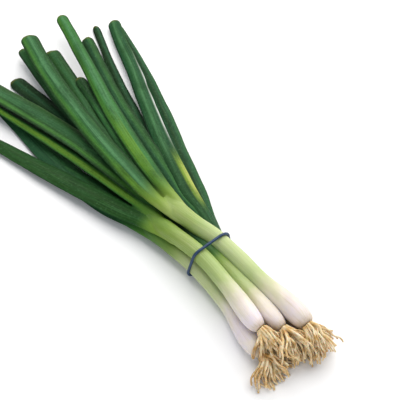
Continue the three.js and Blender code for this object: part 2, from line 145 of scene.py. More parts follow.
# radius: of the shank; bulb: of its bulb; neck, widening: stretch and share by which the neck widens;
# the greener slide, whiter: millimetres by which the colours slide along, green_from: where that starts;
# cream, pale: strength of the cream by the plate and of the pale skin at the band.
# The greener slide is the skin's own colour, except that on the inner onion its long reach into the dark
# greens is painted shade, where the neck lies low between the others.
# Leaves: width at the foot and at the tip, roll at the tip in degrees, foot: share of the width at the foot,
# green: where the leaf's own colours start and are full.
ONIONS = {
    "onion_right": dict(
        radius=6.1, bulb=8.1, neck=26, widening=1.35, greener_and_shaded=0, whiter=-12, cream=0.2, pale=0.35,
        shank=[(14.4, -83, 18.8), (14.9, -70, 19.4), (11.6, -41, 20.2), (9.3, 0, 20.8), (4.4, 23, 20.9),
            (1.2, 47, 21.2)],
        leaves=[
            dict(width=(14.8, 14), route=[(-2.4, 38, 21.4), (-5.4, 62, 22.4), (-5.6, 90, 22.8),
                (-4.6, 124, 21.6), (-1, 166, 19.6), (4, 203, 17.8), (12, 241, 15.6)]),
            dict(width=(12.6, 9.4), roll=8, route=[(6.8, 38, 20.6), (7.3, 66, 20.8), (11.8, 102, 20.8),
                (19.6, 144, 20), (30, 185, 18.4), (44, 243, 15.8)]),
            dict(width=(11, 8.4), route=[(1.6, 40, 18.2), (5, 75, 17), (10.6, 120, 16), (15, 150, 15.2),
                (19.4, 182, 14.6)])]),
    "onion_middle": dict(
        radius=5.7, bulb=6.8, greener_and_shaded=22, whiter=0, cream=0.05,
        shank=[(-10.4, -67, 19.4), (-10.6, -56, 20), (-7.8, -30, 20), (-7.2, 0, 20.2), (-9.8, 22, 18),
            (-12.4, 46, 15)],
        leaves=[
            dict(width=(14.6, 8.4), roll=-12, route=[(-9.4, 38, 15.6), (-10, 60, 13), (-14, 94, 9.8),
                (-23.2, 135, 8.4), (-35, 178, 8), (-49.4, 229, 7.6)]),
            dict(width=(15.6, 9), roll=-6, foot=0.9, green=(4, 18), route=[(-13.8, 38, 14),
                (-18.2, 53, 11.8), (-24.2, 68.5, 9.8), (-32.6, 95, 7.2), (-43.2, 127, 5), (-56.4, 167, 3),
                (-71, 213, 1.6)])]),
    "onion_inner": dict(
        # the inner onion's long greener slide is partly painted shade, darkening its low neck between the
        # others
        radius=5.5, bulb=6.2, greener_and_shaded=100, green_from=-52, whiter=-8, cream=0.25,
        shank=[(1.3, -74.6, 17.7), (1, -62.4, 18.2), (2, -35, 17.8), (1.3, 0, 16.6), (2, 24, 12.8),
            (3.4, 48, 11)],
        leaves=[
            dict(width=(17.4, 18), roll=-14, route=[(0.4, 40, 13.8), (-4.4, 64, 15.4), (-8.8, 96, 15.2),
                (-13.8, 130, 13.6), (-22, 164, 12.6), (-31.8, 198.5, 11.8), (-43.8, 238, 10.8)]),
            dict(width=(12.8, 12), roll=6, route=[(4.8, 38, 12), (4.4, 66, 12.6), (2.6, 98, 13.8),
                (4.4, 134, 13.4), (11.4, 172, 12.8), (19, 220, 11.8)]),
            dict(width=(12, 10.6), roll=-10, route=[(4.4, 38, 9.6), (2.6, 68, 8.6), (-0.6, 102, 8.8),
                (-2, 140, 8.8), (-1, 186, 8.6), (4.4, 238, 8)])]),
    "onion_left": dict(
        radius=5.6, bulb=7.3, greener_and_shaded=40, whiter=6, cream=0.05, pale=0.5,
        shank=[(-16.9, -77.2, 7.2), (-16.4, -63, 7.3), (-11.8, -34, 7.3), (-11, 0, 8.6), (-13.8, 24, 8.6),
            (-18.4, 48, 8)],
        leaves=[
            dict(width=(18.5, 14), roll=-4, route=[(-17.6, 39, 7.4), (-21.6, 62, 4.8), (-27.6, 88, 3),
                (-32, 118, 2.2), (-34.2, 150, 1.8), (-35.2, 184, 1.6), (-36.6, 214, 1.5)]),
            dict(width=(11, 8), route=[(-15, 39, 5.8), (-18, 66, 4.4), (-21.8, 90, 3), (-26.4, 111, 2.2),
                (-33.4, 133, 1.6), (-39.4, 150, 1.3)])]),
    "onion_under_left": dict(
        radius=5.7, bulb=6.6, greener_and_shaded=60, whiter=4, cream=0.05,
        shank=[(-0.4, -71, 5.8), (-0.4, -60, 5.9), (0, -30, 6.8), (0, 0, 8.1), (-1.2, 24, 7.2),
            (-3.6, 48, 5.6)],
        leaves=[
            dict(width=(13, 12.4), route=[(-1.6, 38, 6.2), (-0.2, 66, 5), (0, 98, 4.2), (-3, 134, 3),
                (-8, 172, 1.8), (-15.4, 221, 1.3)]),
            dict(width=(10, 7), route=[(-6.4, 38, 5.2), (-9.6, 70, 3.8), (-14.4, 108, 2.2),
                (-20, 144, 1.4)])]),
    "onion_under_right": dict(
        radius=5.8, bulb=6.9, neck=13, greener_and_shaded=104, whiter=0, cream=0.05,
        shank=[(14.4, -78, 6), (13.7, -65, 6.2), (11.8, -34, 7.4), (11.2, 0, 9.6), (14, 15, 10)],
        leaves=[
            dict(width=(13.6, 10.4), roll=14, foot=0.5, green=(-30, -10), route=[(13.6, 5, 11),
                (16, 16, 11.4), (18.4, 30, 11.2), (20.8, 48, 10.8), (26.4, 70, 10.2), (35.8, 102, 9),
                (47.6, 134.8, 7.6), (61, 171, 6.2), (70.6, 201.5, 5.4), (79, 222.5, 4.8)]),
            dict(width=(12.6, 10), roll=6, foot=0.5, green=(-30, -10), route=[(11.4, 5, 10),
                (13.4, 16, 10.4), (14.6, 34, 10.2), (15.8, 54, 9.6), (19.2, 70, 9.2), (25.8, 110, 8),
                (33.8, 155, 6.4), (44.6, 195.5, 5), (51.7, 220.7, 4.6)]),
            dict(width=(12, 7), roll=4, foot=0.5, green=(-30, -10), route=[(14.4, 5, 8.8), (17.6, 12, 8.6),
                (21.4, 26, 8), (25.4, 39, 7.2), (33.4, 62, 5.4), (40.8, 85, 4), (52.4, 116, 2.4),
                (65.4, 157, 1.7), (75, 194, 1.4), (80, 219, 1.3)]),
            dict(width=(11, 6.2), foot=0.5, green=(-30, -10), route=[(12, 5, 7.8), (13.6, 16, 7.4),
                (17.4, 38, 6.4), (22.8, 78, 4.2), (28.4, 104, 3), (39.4, 144, 2), (50.4, 183, 1.5),
                (66, 229, 1.2)])]),
}

band_low, band_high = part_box("rubber_band")
BAND_PLACE = Vector(((band_low[0] + band_high[0]) / 2 - BAND_ASIDE * MM, (band_low[1] + band_high[1]) / 2, 0))


# ---- small helpers
def clamp01(x):
    return min(max(x, 0.0), 1.0)


def smooth(x):
    x = clamp01(x)
    return x * x * (3 - 2 * x)


def lerp(a, b, t):
    return a + (b - a) * t


def in_frame(point):
    """A route's point, in millimetres from under the band, as a place in the frame."""
    return BAND_PLACE + Vector(point) * MM


def past_band(distance):
    """Where a distance in millimetres from the band falls along the bunch."""
    return BAND_PLACE.y + distance * MM


def start_fresh():
    if bpy.context.mode != "OBJECT":
        bpy.ops.object.mode_set(mode="OBJECT")
    bpy.ops.object.select_all(action="DESELECT")


def make_active(piece):
    start_fresh()
    bpy.context.view_layer.objects.active = piece
    piece.select_set(True)


def pick(piece, test):
    """In edit mode, selects just the vertices whose place passes the test."""
    shape = bmesh.from_edit_mesh(piece.data)
    for edge in shape.edges:
        edge.select_set(False)
    for vertex in shape.verts:
        vertex.select_set(test(vertex.co))
    shape.select_flush(True)
    bmesh.update_edit_mesh(piece.data)


def settle(piece):
    """Puts the piece's place into its mesh."""
    make_active(piece)
    bpy.ops.object.transform_apply(location=True, rotation=True, scale=True)


def given(thing, **settings):
    """The thing, with these settings."""
    for name, value in settings.items():
        setattr(thing, name, value)
    return thing


def apply_modifier(piece, kind, **settings):
    make_active(piece)
    modifier = given(piece.modifiers.new(kind.lower(), kind), **settings)
    bpy.ops.object.modifier_apply(modifier=modifier.name)


def join(piece, *others):
    """The piece with the others joined to it."""
    make_active(piece)
    for other in others:
        other.select_set(True)
    bpy.ops.object.join()
    return piece


def round_off(piece):
    apply_modifier(piece, "SUBSURF", levels=2, render_levels=2)


def select_all():
    bpy.ops.mesh.select_all(action="SELECT")


def face_outwards():
    select_all()
    bpy.ops.mesh.normals_make_consistent(inside=False)


def extrude(move):
    bpy.ops.mesh.extrude_region_move(TRANSFORM_OT_translate={"value": move})


def linked(name, data):
    """A new object for the data, in the scene."""
    thing = bpy.data.objects.new(name, data)
    bpy.context.scene.collection.objects.link(thing)
    return thing


def curve_data(name, **settings):
    return given(bpy.data.curves.new(name, "CURVE"), dimensions="3D", **settings)


def meshed(name, data):
    """A curve with a thickness, as a mesh."""
    make_active(linked(name, data))
    bpy.ops.object.convert(target="MESH")
    return bpy.context.object


# ---- routes
def route_curve(points, roll=0, root=None):
    """A smooth curve through the points, with straight-on ends, rolled evenly up to this many degrees.

    A root is a point before the first one: the curve from there joins on without changing the rest.
    """
    places = [in_frame(p) for p in points]
    places = [2 * places[0] - places[1]] + places + [2 * places[-1] - places[-2]]
    knots = [(places[i + 1], (places[i + 2] - places[i]) / 6, -math.radians(roll * (i / (len(points) - 1))))
             for i in range(len(points))]
    if root:
        knots.insert(0, (in_frame(root), (places[1] - in_frame(root)) / 3, knots[0][2]))
    data = curve_data("route", twist_mode="Z_UP", resolution_u=24)
    spline = data.splines.new("BEZIER")
    spline.bezier_points.add(len(knots) - 1)
    for knot, (place, reach, tilt) in zip(spline.bezier_points, knots):
        knot.handle_left_type = knot.handle_right_type = "FREE"
        knot.co, knot.handle_left, knot.handle_right, knot.tilt = place, place - reach, place + reach, tilt
    return linked("route", data), spline.calc_length() / MM


def bend_along(piece, curve):
    apply_modifier(piece, "CURVE", object=curve, deform_axis="POS_X")
    bpy.data.objects.remove(curve)


# ---- a tube made straight along X, ring by ring
def first_ring(name, sides):
    """An upright ring of radius 1 round X, left in edit mode with all of it selected."""
    start_fresh()
    bpy.ops.mesh.primitive_circle_add(vertices=sides, radius=1, location=(0, 0, 0),
                                      rotation=(0, math.pi / 2, 0))
    piece = bpy.context.object
    piece.name = piece.data.name = name
    settle(piece)
    bpy.ops.object.mode_set(mode="EDIT")
    bpy.ops.mesh.select_mode(type="VERT")
    select_all()
    return piece


def resize_ring(distance, wide, thick):
    """Scales the selected ring round its middle, which is this many millimetres up the piece."""
    bpy.ops.transform.resize(value=(1, wide, thick), center_override=(distance * MM, 0, 0))


def draw_on(rings):
    """Extrudes the selected ring through a list of (distance, half width, half thickness)."""
    distance, half_width, half_thickness = rings[0]
    bpy.ops.transform.translate(value=(distance * MM, 0, 0))
    resize_ring(distance, half_width * MM, half_thickness * MM)
    for next_distance, next_width, next_thickness in rings[1:]:
        extrude(((next_distance - distance) * MM, 0, 0))
        resize_ring(next_distance, next_width / half_width, next_thickness / half_thickness)
        distance, half_width, half_thickness = next_distance, next_width, next_thickness
    return distance


def close_ends(piece, *distances):
    """Closes the open rings that stand at these distances."""
    for distance in distances:
        pick(piece, lambda co: abs(co.x - distance * MM) < 1e-5)
        bpy.ops.mesh.edge_face_add()
    face_outwards()


def remember_place(piece, half_width, half_thickness, before=0.0):
    """Stores, on each vertex of a straight piece, its (distance, place across, place up) for the finishes.

    The distance counts from a point this many millimetres up the piece.
    """
    place = piece.data.attributes.new("straight_place", "FLOAT_VECTOR", "POINT")
    values = []
    for vertex in piece.data.vertices:
        distance = vertex.co.x / MM
        values += [vertex.co.x - before * MM, vertex.co.y / (half_width(distance) * MM),
                   vertex.co.z / (half_thickness(distance) * MM)]
    place.data.foreach_set("vector", values)


def lay_on_surface(piece):
    """What would sink into the surface is pressed flat on it."""
    for vertex in piece.data.vertices:
        vertex.co.z = max(vertex.co.z, 0.0)


def roughen(piece, depth, pattern):
    """Moves each vertex out or in by the noise at the place that the pattern gives for it."""
    normals = [vertex.normal.copy() for vertex in piece.data.vertices]
    for vertex, normal in zip(piece.data.vertices, normals):
        vertex.co += normal * noise.noise(pattern(vertex.co)) * depth * MM


def weather(piece, depth, reach, seed):
    """Small slow bulges and hollows, long along the straight piece and short across it."""
    shift = Vector((seed * 7.3, seed * 3.1, seed * 5.7))
    roughen(piece, depth, lambda co: Vector((co.x / (reach * 3.2 * MM), co.y / (reach * MM),
                                             co.z / (reach * MM))) + shift)


# ---- leaves
def leaf_sizes(leaf, length, before=0.0):
    """A leaf's half width and half thickness, each a function of the distance up a piece of it.

    The piece starts this far before the leaf's foot.
    """
    def on_leaf(distance):
        along = min(max(distance - before, 0), length)
        return along, clamp01((along - length + LEAF_TIP) / LEAF_TIP)

    def half_width(distance):
        along, into_tip = on_leaf(distance)
        narrowing = smooth((along / length - LEAF_TAPER_START) / (1 - LEAF_TAPER_START))
        opening = lerp(leaf.get("foot", LEAF_FOOT_WIDTH), 1, smooth(along / LEAF_OPENING))
        rounding = math.sqrt(1 - LEAF_TIP_ROUNDING * into_tip ** 3)
        return lerp(*leaf["width"], narrowing) / 2 * opening * rounding

    def half_thickness(distance):
        along, into_tip = on_leaf(distance)
        opened = lerp(LEAF_FOOT_THICKNESS, LEAF_THICKNESS, smooth(along / LEAF_OPENING))
        thickness = lerp(opened, LEAF_TIP_THICKNESS, along / length)
        return thickness / 2 * (1 - LEAF_TIP_THINNING * into_tip ** 2)

    return half_width, half_thickness


def shape_leaf_section(piece):
    """Turns the round ring into a leaf's section: ridged above, rounder below, folded at both sides."""
    for step in range(1, LEAF_SIDES // 4 + 1):
        across = math.cos(2 * math.pi * step / LEAF_SIDES)
        height = math.sin(2 * math.pi * step / LEAF_SIDES)
        for roundness, side in ((RIDGE_ROUNDNESS, 1), (BELLY_ROUNDNESS, -1)):
            pick(piece, lambda co: abs(abs(co.y) - across) < 1e-3 and co.z * side > 1e-3)
            resize_ring(0, 1, (1 - across ** roundness) / height)
    select_all()


def leaf_piece(name, leaf, seed):
    """A hollow flattened leaf with a trimmed tip, from inside its fork to its end."""
    draw = random.Random(seed)
    curve, length = route_curve(leaf["route"], leaf.get("roll", 0))
    half_width, half_thickness = leaf_sizes(leaf, length)

    def section(distance):
        sunk = lerp(-BLADE_SUNK, 0, smooth((distance - BLADE_START) / (BLADE_FREE - BLADE_START)))
        return distance, half_width(distance) + sunk, half_thickness(distance) + sunk

    piece = first_ring(name, LEAF_SIDES)
    shape_leaf_section(piece)
    stretch = length - LEAF_TIP - BLADE_START
    steps = max(int(stretch / LEAF_STEP), 4)
    sections = [section(BLADE_START + stretch * i / steps) for i in range(steps + 1)]
    end = draw_on(sections + [section(length - LEAF_TIP * share) for share in LEAF_TIP_STEPS])

    # the trimmed tip: a thin rim round a hollow that goes some way in
    bpy.ops.transform.rotate(value=-math.radians(draw.uniform(-TIP_SLANT, TIP_SLANT)), orient_axis="Z",
                             center_override=(end * MM, 0, 0))
    opening = (-0.15, 1 - LEAF_WALL / half_width(end), max(1 - LEAF_WALL / half_thickness(end), TIP_OPEN))
    for move, wide, thick in (TIP_RIM, opening, *TIP_HOLLOW):
        extrude((move * MM, 0, 0))
        resize_ring(end, wide, thick)
    bpy.ops.mesh.edge_face_add()
    close_ends(piece, BLADE_START)

    # dents and squeezes pressed in by hand along the tube
    for _ in range(int(length / DENT_EVERY)):
        place = draw.uniform(*DENT_PLACE) * length
        side = draw.choice((-1, 1))
        across = draw.uniform(-DENT_ASIDE, DENT_ASIDE) * half_width(place)
        target = Vector((place * MM, across * MM, side * half_thickness(place) * MM))
        shape = bmesh.from_edit_mesh(piece.data)
        spot = min(shape.verts, key=lambda v: (v.co - target).length).co.copy()
        pick(piece, lambda co: (co - spot).length < 1e-6)
        bpy.ops.transform.translate(
            value=(0, 0, -side * draw.uniform(*DENT_DEPTH) * MM), use_proportional_edit=True,
            proportional_edit_falloff="SMOOTH", proportional_size=draw.uniform(*DENT_REACH) * MM)
    round_off(piece)
    remember_place(piece, half_width, half_thickness)
    weather(piece, *LEAF_BULGES, seed)
    bend_along(piece, curve)
    lay_on_surface(piece)
    return piece, length


def neck_middle(onion, y):
    """The middle of an onion's neck at a distance from the band."""
    route = [Vector(p) for p in onion["shank"]]
    for a, b in zip(route, route[1:]):
        if y <= b.y or b is route[-1]:
            return a.lerp(b, (y - a.y) / (b.y - a.y))


def fork_piece(leaf, onion):
    """The stretch of a leaf that grows out of the neck: it ends just inside the leaf's own skin."""
    foot = Vector(leaf["route"][0])
    root = neck_middle(onion, foot.y - FORK_REACH) + (foot - neck_middle(onion, foot.y)) * FORK_CLOSING
    short, length = route_curve(leaf["route"])
    bpy.data.objects.remove(short)
    curve, long = route_curve(leaf["route"], leaf.get("roll", 0), root)
    before = long - length
    half_width, half_thickness = leaf_sizes(leaf, length, before)

    def section(distance):
        rooted = lerp(-FORK_ROOT_SUNK, 0, smooth(distance / (before + FORK_ROOT)))
        grown = clamp01((distance - before - BLADE_START) / (FORK_END - BLADE_START))
        swell = lerp(FORK_SWELL, -FORK_SWELL, grown) + rooted
        return distance, half_width(distance) + swell, half_thickness(distance) + swell

    piece = first_ring("fork", LEAF_SIDES)
    shape_leaf_section(piece)
    end = before + FORK_END
    steps = int(end / FORK_STEP)
    draw_on([section(end * i / steps) for i in range(steps + 1)])
    close_ends(piece, 0, end)
    round_off(piece)
    remember_place(piece, half_width, half_thickness, before)
    bend_along(piece, curve)
    return piece


# ---- shanks with their bulbs
def shank_radius(onion, distance):
    swelling = 1 - smooth((distance - BULB_BELLY) / (BULB_LENGTH - BULB_BELLY))
    rounding = math.sqrt(1 - (1 - BASE_SHARE ** 2) * clamp01(1 - distance / BULB_BELLY) ** 2.4)
    return lerp(onion["radius"], onion["bulb"], swelling) * rounding


def shank_piece(name, onion, seed):
    curve, length = route_curve(onion["shank"])
    flattening = onion.get("neck", NECK_LENGTH)
    widening = onion.get("widening", NECK_WIDENING)
    crotch_start = min(CROTCH_START, flattening)
    draw = random.Random(seed)

    def half_size(distance, at_neck, at_crotch):
        neck = smooth((distance - length + flattening) / flattening)
        thinning = 1 - smooth((distance - length + crotch_start) / (crotch_start + CROTCH_LENGTH))
        return shank_radius(onion, distance) * lerp(1, at_neck, neck) * lerp(at_crotch, 1, thinning)

    def half_width(distance):
        return half_size(distance, widening, CROTCH_WIDTH)

    def half_thickness(distance):
        return half_size(distance, NECK_FLATTENING, CROTCH_THICKNESS)

    piece = first_ring(name, SHANK_SIDES)
    start = BULB_RINGS[-1]
    steps = int((length - start - crotch_start) / SHANK_STEP)
    distances = [*BULB_RINGS]
    distances += [start + (length - crotch_start - start) * (i + 1) / steps for i in range(steps)]
    distances += [length - crotch_start + (crotch_start + CROTCH_LENGTH) * (i + 1) / CROTCH_RINGS
                  for i in range(CROTCH_RINGS)]
    draw_on([(d, half_width(d), half_thickness(d)) for d in distances])
    bpy.ops.mesh.edge_face_add()
    close_ends(piece, 0)

    # the basal end is dished where the plate sits
    pick(piece, lambda co: abs(co.x) < 1e-5)
    bpy.ops.mesh.inset(thickness=DISH_RIM * MM, depth=0)
    bpy.ops.transform.translate(value=(DISH_DEPTH * MM, 0, 0))

    # long shallow creases where one sheath's edge lies over the next
    for _ in range(CREASES):
        index = round(draw.uniform(0, 2 * math.pi) / (2 * math.pi) * SHANK_SIDES)
        angle = index * 2 * math.pi / SHANK_SIDES
        direction = Vector((0, math.cos(angle), math.sin(angle)))
        start = draw.uniform(*CREASE_START) * MM

        def on_crease(co):
            radial = Vector((0, co.y / half_width(co.x / MM), co.z / half_thickness(co.x / MM)))
            in_reach = start < co.x < (length - CREASE_STOP) * MM
            return in_reach and (radial.normalized() - direction).length < 0.02

        pick(piece, on_crease)
        bpy.ops.transform.translate(value=-direction * CREASE_DEPTH * MM)
    round_off(piece)
    remember_place(piece, half_width, half_thickness)
    weather(piece, *SHANK_BULGES, seed)
    bend_along(piece, curve)
    return piece


def sheath_piece(name, onion, seed):
    """Shank, bulb and the forks of the leaves grown together in one skin.

    Faces of the shank take material 0, and those of the fork of leaf n take material n.
    """
    sources = [shank_piece("shank", onion, seed)] + [fork_piece(leaf, onion) for leaf in onion["leaves"]]
    trees = [BVHTree.FromObject(source, bpy.context.evaluated_depsgraph_get()) for source in sources]
    places = [[one.vector.copy() for one in source.data.attributes["straight_place"].data]
              for source in sources]
    faces = [[tuple(face.vertices) for face in source.data.polygons] for source in sources]
    corners = [[vertex.co.copy() for vertex in source.data.vertices] for source in sources]

    piece = join(*sources)
    piece.name = piece.data.name = name
    apply_modifier(piece, "REMESH", mode="VOXEL", voxel_size=SKIN_GRAIN * MM, adaptivity=0)
    apply_modifier(piece, "SMOOTH", factor=0.5, iterations=SKIN_SMOOTHING)
    parting = past_band(max(leaf["route"][0][1] for leaf in onion["leaves"]) + PARTING_PAST)
    group = piece.vertex_groups.new(name="parting")
    for vertex in piece.data.vertices:
        away = abs(vertex.co.y - parting) / MM
        group.add([vertex.index], smooth((PARTING_REACH - away) / PARTING_FADE), "REPLACE")
    apply_modifier(piece, "SMOOTH", factor=0.5, iterations=FORK_SMOOTHING, vertex_group="parting")
    piece.vertex_groups.clear()

    def place_on(which, co):
        """How far a point is from a source, and the straight place of the source's point nearest to it."""
        location, _, face, away = trees[which].find_nearest(co)
        ring = faces[which][face]
        place = Vector()
        for share, v in zip(poly_3d_calc([corners[which][v] for v in ring], location), ring):
            place += places[which][v] * share
        return away, place

    old = piece.data.attributes.get("straight_place")
    if old:
        piece.data.attributes.remove(old)
    found = [[place_on(which, vertex.co) for which in range(len(trees))] for vertex in piece.data.vertices]
    owners = [min(range(len(one)), key=lambda k: one[k][0]) for one in found]
    values = []
    for face in piece.data.polygons:
        face.material_index = min(owners[v] for v in face.vertices)
        for v in face.vertices:
            values += list(found[v][face.material_index][1])
    attribute = piece.data.attributes.new("straight_place", "FLOAT_VECTOR", "CORNER")
    attribute.data.foreach_set("vector", values)
    lay_on_surface(piece)
    return piece


# ---- roots
def distance_to_shank(point, onion):
    """Millimetres from a point to the surface of an onion's bulb, and the way out of it."""
    route = [Vector(p) for p in onion["shank"]]
    best = None
    for a, b in zip(route, route[1:3]):
        t = clamp01((point - a).dot(b - a) / (b - a).length_squared)
        out = point - (a + (b - a) * t)
        gap = out.length - onion["bulb"]
        if (point - a).dot(b - a) > 0 and (best is None or gap < best[0]):
            best = (gap, out.normalized())
    return best


def spread_vector(draw):
    return Vector([draw.random() - 0.5 for _ in range(3)])


def root_line(start, lean, outward, lock, draw, others):
    """One root's middle line: it follows its lock, waves from side to side and droops."""
    length = lerp(ROOT_SHORTEST, ROOT_LONGEST, draw.random() ** 0.8)
    step = length / ROOT_STEPS
    heading = outward + (lean + lock["lean"]) / 2 * ROOT_SPREAD * (0.6 + 0.8 * draw.random())
    wander = (lock["wander"] + spread_vector(draw) * 0.7) * ROOT_CURL
    swing = (lock["swing"] + spread_vector(draw) * 0.8).cross(outward).normalized()
    phase = lock["phase"] + draw.uniform(-0.6, 0.6)
    wave_length = ROOT_WAVE_LENGTH * draw.uniform(0.75, 1.3)
    points = [start - outward * PLATE_THICKNESS * 0.6]
    tip = start.copy()
    for i in range(ROOT_STEPS):
        heading = heading + wander * 0.3
        heading.z -= ROOT_DROOP
        heading.normalize()
        tip = tip + heading * step
        for other in others:
            near = distance_to_shank(tip, other)
            if near and near[0] < ROOT_CLEARANCE:
                tip += near[1] * (ROOT_CLEARANCE - near[0])
        sway = math.sin(2 * math.pi * (i + 1) * step / wave_length + phase) - math.sin(phase)
        point = tip + swing * sway * ROOT_WAVE * clamp01((i + 1) * step / ROOT_WAVE_GROWTH)
        point.z = max(point.z, ROOT_THICK + ROOT_LIFT)
        points.append(point)
        if i == ROOT_STEPS // 2:
            wander = wander * ROOT_TURN
    return points


def roots_piece(name, onion, seed):
    """A corky plate with a tuft of tangled roots."""
    draw = random.Random(seed)
    base = Vector(onion["shank"][0])
    outward = (base - Vector(onion["shank"][1])).normalized()
    side = outward.cross(Vector((0, 0, 1))).normalized()
    rise = side.cross(outward)
    plate = onion["bulb"] * BASE_SHARE
    others = [o for o in ONIONS.values() if o is not onion]

    def place_on_plate(i, count):
        """Place i of so many, spread evenly over a plate of radius 1."""
        out = math.sqrt((i + 0.5) / count)
        angle = i * GOLDEN_ANGLE
        return side * math.cos(angle) * out + rise * math.sin(angle) * out

    locks = [dict(lean=place_on_plate(i, ROOT_LOCKS), wander=spread_vector(draw), swing=spread_vector(draw),
                  phase=draw.uniform(0, 2 * math.pi)) for i in range(ROOT_LOCKS)]
    data = curve_data(name, bevel_depth=MM, bevel_resolution=1, resolution_u=3, use_fill_caps=True)
    for i in range(ROOTS_PER_TUFT):
        lean = place_on_plate(i, ROOTS_PER_TUFT)
        start = base + outward * (PLATE_THICKNESS * 0.7) + lean * plate * 0.92
        lock = min(locks, key=lambda one: (one["lean"] - lean).length)
        points = root_line(start, lean, outward, lock, draw, others)
        thick = ROOT_THICK * draw.choice(ROOT_SIZES)
        spline = data.splines.new("NURBS")
        spline.points.add(len(points) - 1)
        spline.use_endpoint_u = True
        spline.order_u = 4
        for k, point in enumerate(points):
            along = k / (len(points) - 1)
            spline.points[k].co = (*in_frame(point), 1)
            spline.points[k].radius = lerp(thick, ROOT_THIN, along) * draw.uniform(0.85, 1.15)
    tuft = meshed(name, data)

    # the plate: a rough knob, wider where the roots leave it
    start_fresh()
    centre = in_frame(base)
    bpy.ops.mesh.primitive_circle_add(vertices=20, radius=plate * 0.98 * MM, fill_type="NGON",
                                      location=centre, rotation=outward.to_track_quat("Z", "Y").to_euler())
    knob = bpy.context.object
    bpy.ops.object.mode_set(mode="EDIT")
    select_all()
    for depth, scale in PLATE_RINGS:
        extrude(outward * depth * MM)
        centre = centre + outward * depth * MM
        bpy.ops.transform.resize(value=(scale, scale, scale), center_override=centre)
    face_outwards()
    settle(knob)
    round_off(knob)
    roughen(knob, PLATE_ROUGHNESS, lambda co: co * 900)
    return join(tuft, knob)


# ---- rubber band
def route_point_at_band(points):
    """Where an onion's route passes the band's plane."""
    curve, _ = route_curve(points)
    dense = [vertex.co.copy() for vertex in curve.to_mesh().vertices]
    curve.to_mesh_clear()
    bpy.data.objects.remove(curve)
    for a, b in zip(dense, dense[1:]):
        if a.y <= BAND_PLACE.y <= b.y:
            return a.lerp(b, -(a.y - BAND_PLACE.y) / ((b.y - BAND_PLACE.y) - (a.y - BAND_PLACE.y)))


def band_piece():
    """A thin rubber ring pulled tight round the six shanks."""
    middles = [(route_point_at_band(onion["shank"]), (onion["radius"] + BAND_GAP + BAND_RADIUS) * MM)
               for onion in ONIONS.values()]
    data = curve_data("rubber_ring", bevel_depth=BAND_RADIUS * MM, bevel_resolution=4, twist_mode="MINIMUM")
    spline = data.splines.new("POLY")
    spline.points.add(BAND_STEPS - 1)
    spline.use_cyclic_u = True
    for i in range(BAND_STEPS):
        angle = 2 * math.pi * i / BAND_STEPS
        direction = Vector((math.cos(angle), 0, math.sin(angle)))
        middle, reach = max(middles, key=lambda m: m[0].dot(direction) + m[1])
        spline.points[i].co = (*(middle + direction * reach), 1)
    return meshed("rubber_ring", data)


# ---- finishes
STUDIO_LIGHT = 1.25  # how much brighter than its own colour a surface looks under the lamps
# leaf tones: night and deep also serve as painted shade, mint partly as a painted highlight on the waxy
# bloom, rim as a painted highlight along an edge, and the near-white tone as a painted glint along a leaf's
# edge
LEAF_TONES = dict(
    night="#0c2011", deep="#173b18", bottle="#205230", moss="#214818", mid="#265322", sage="#306336",
    grass="#366e30", leafy="#458343", mint="#508655", fresh="#447c2d", lime="#6a9a2c", rim="#47683a",
    painted_glint="#f6f9f4", yellow="#8aa830", butter="#c2cc66")


def tone(code):
    """The surface colour that looks like this leaf tone or six-figure code under the lamps."""
    code = LEAF_TONES.get(code, code)
    channels = [int(code[i:i + 2], 16) / 255 for i in (1, 3, 5)]
    linear = [c / 12.92 if c <= 0.04045 else ((c + 0.055) / 1.055) ** 2.4 for c in channels]
    return (*[c / STUDIO_LIGHT for c in linear], 1.0)


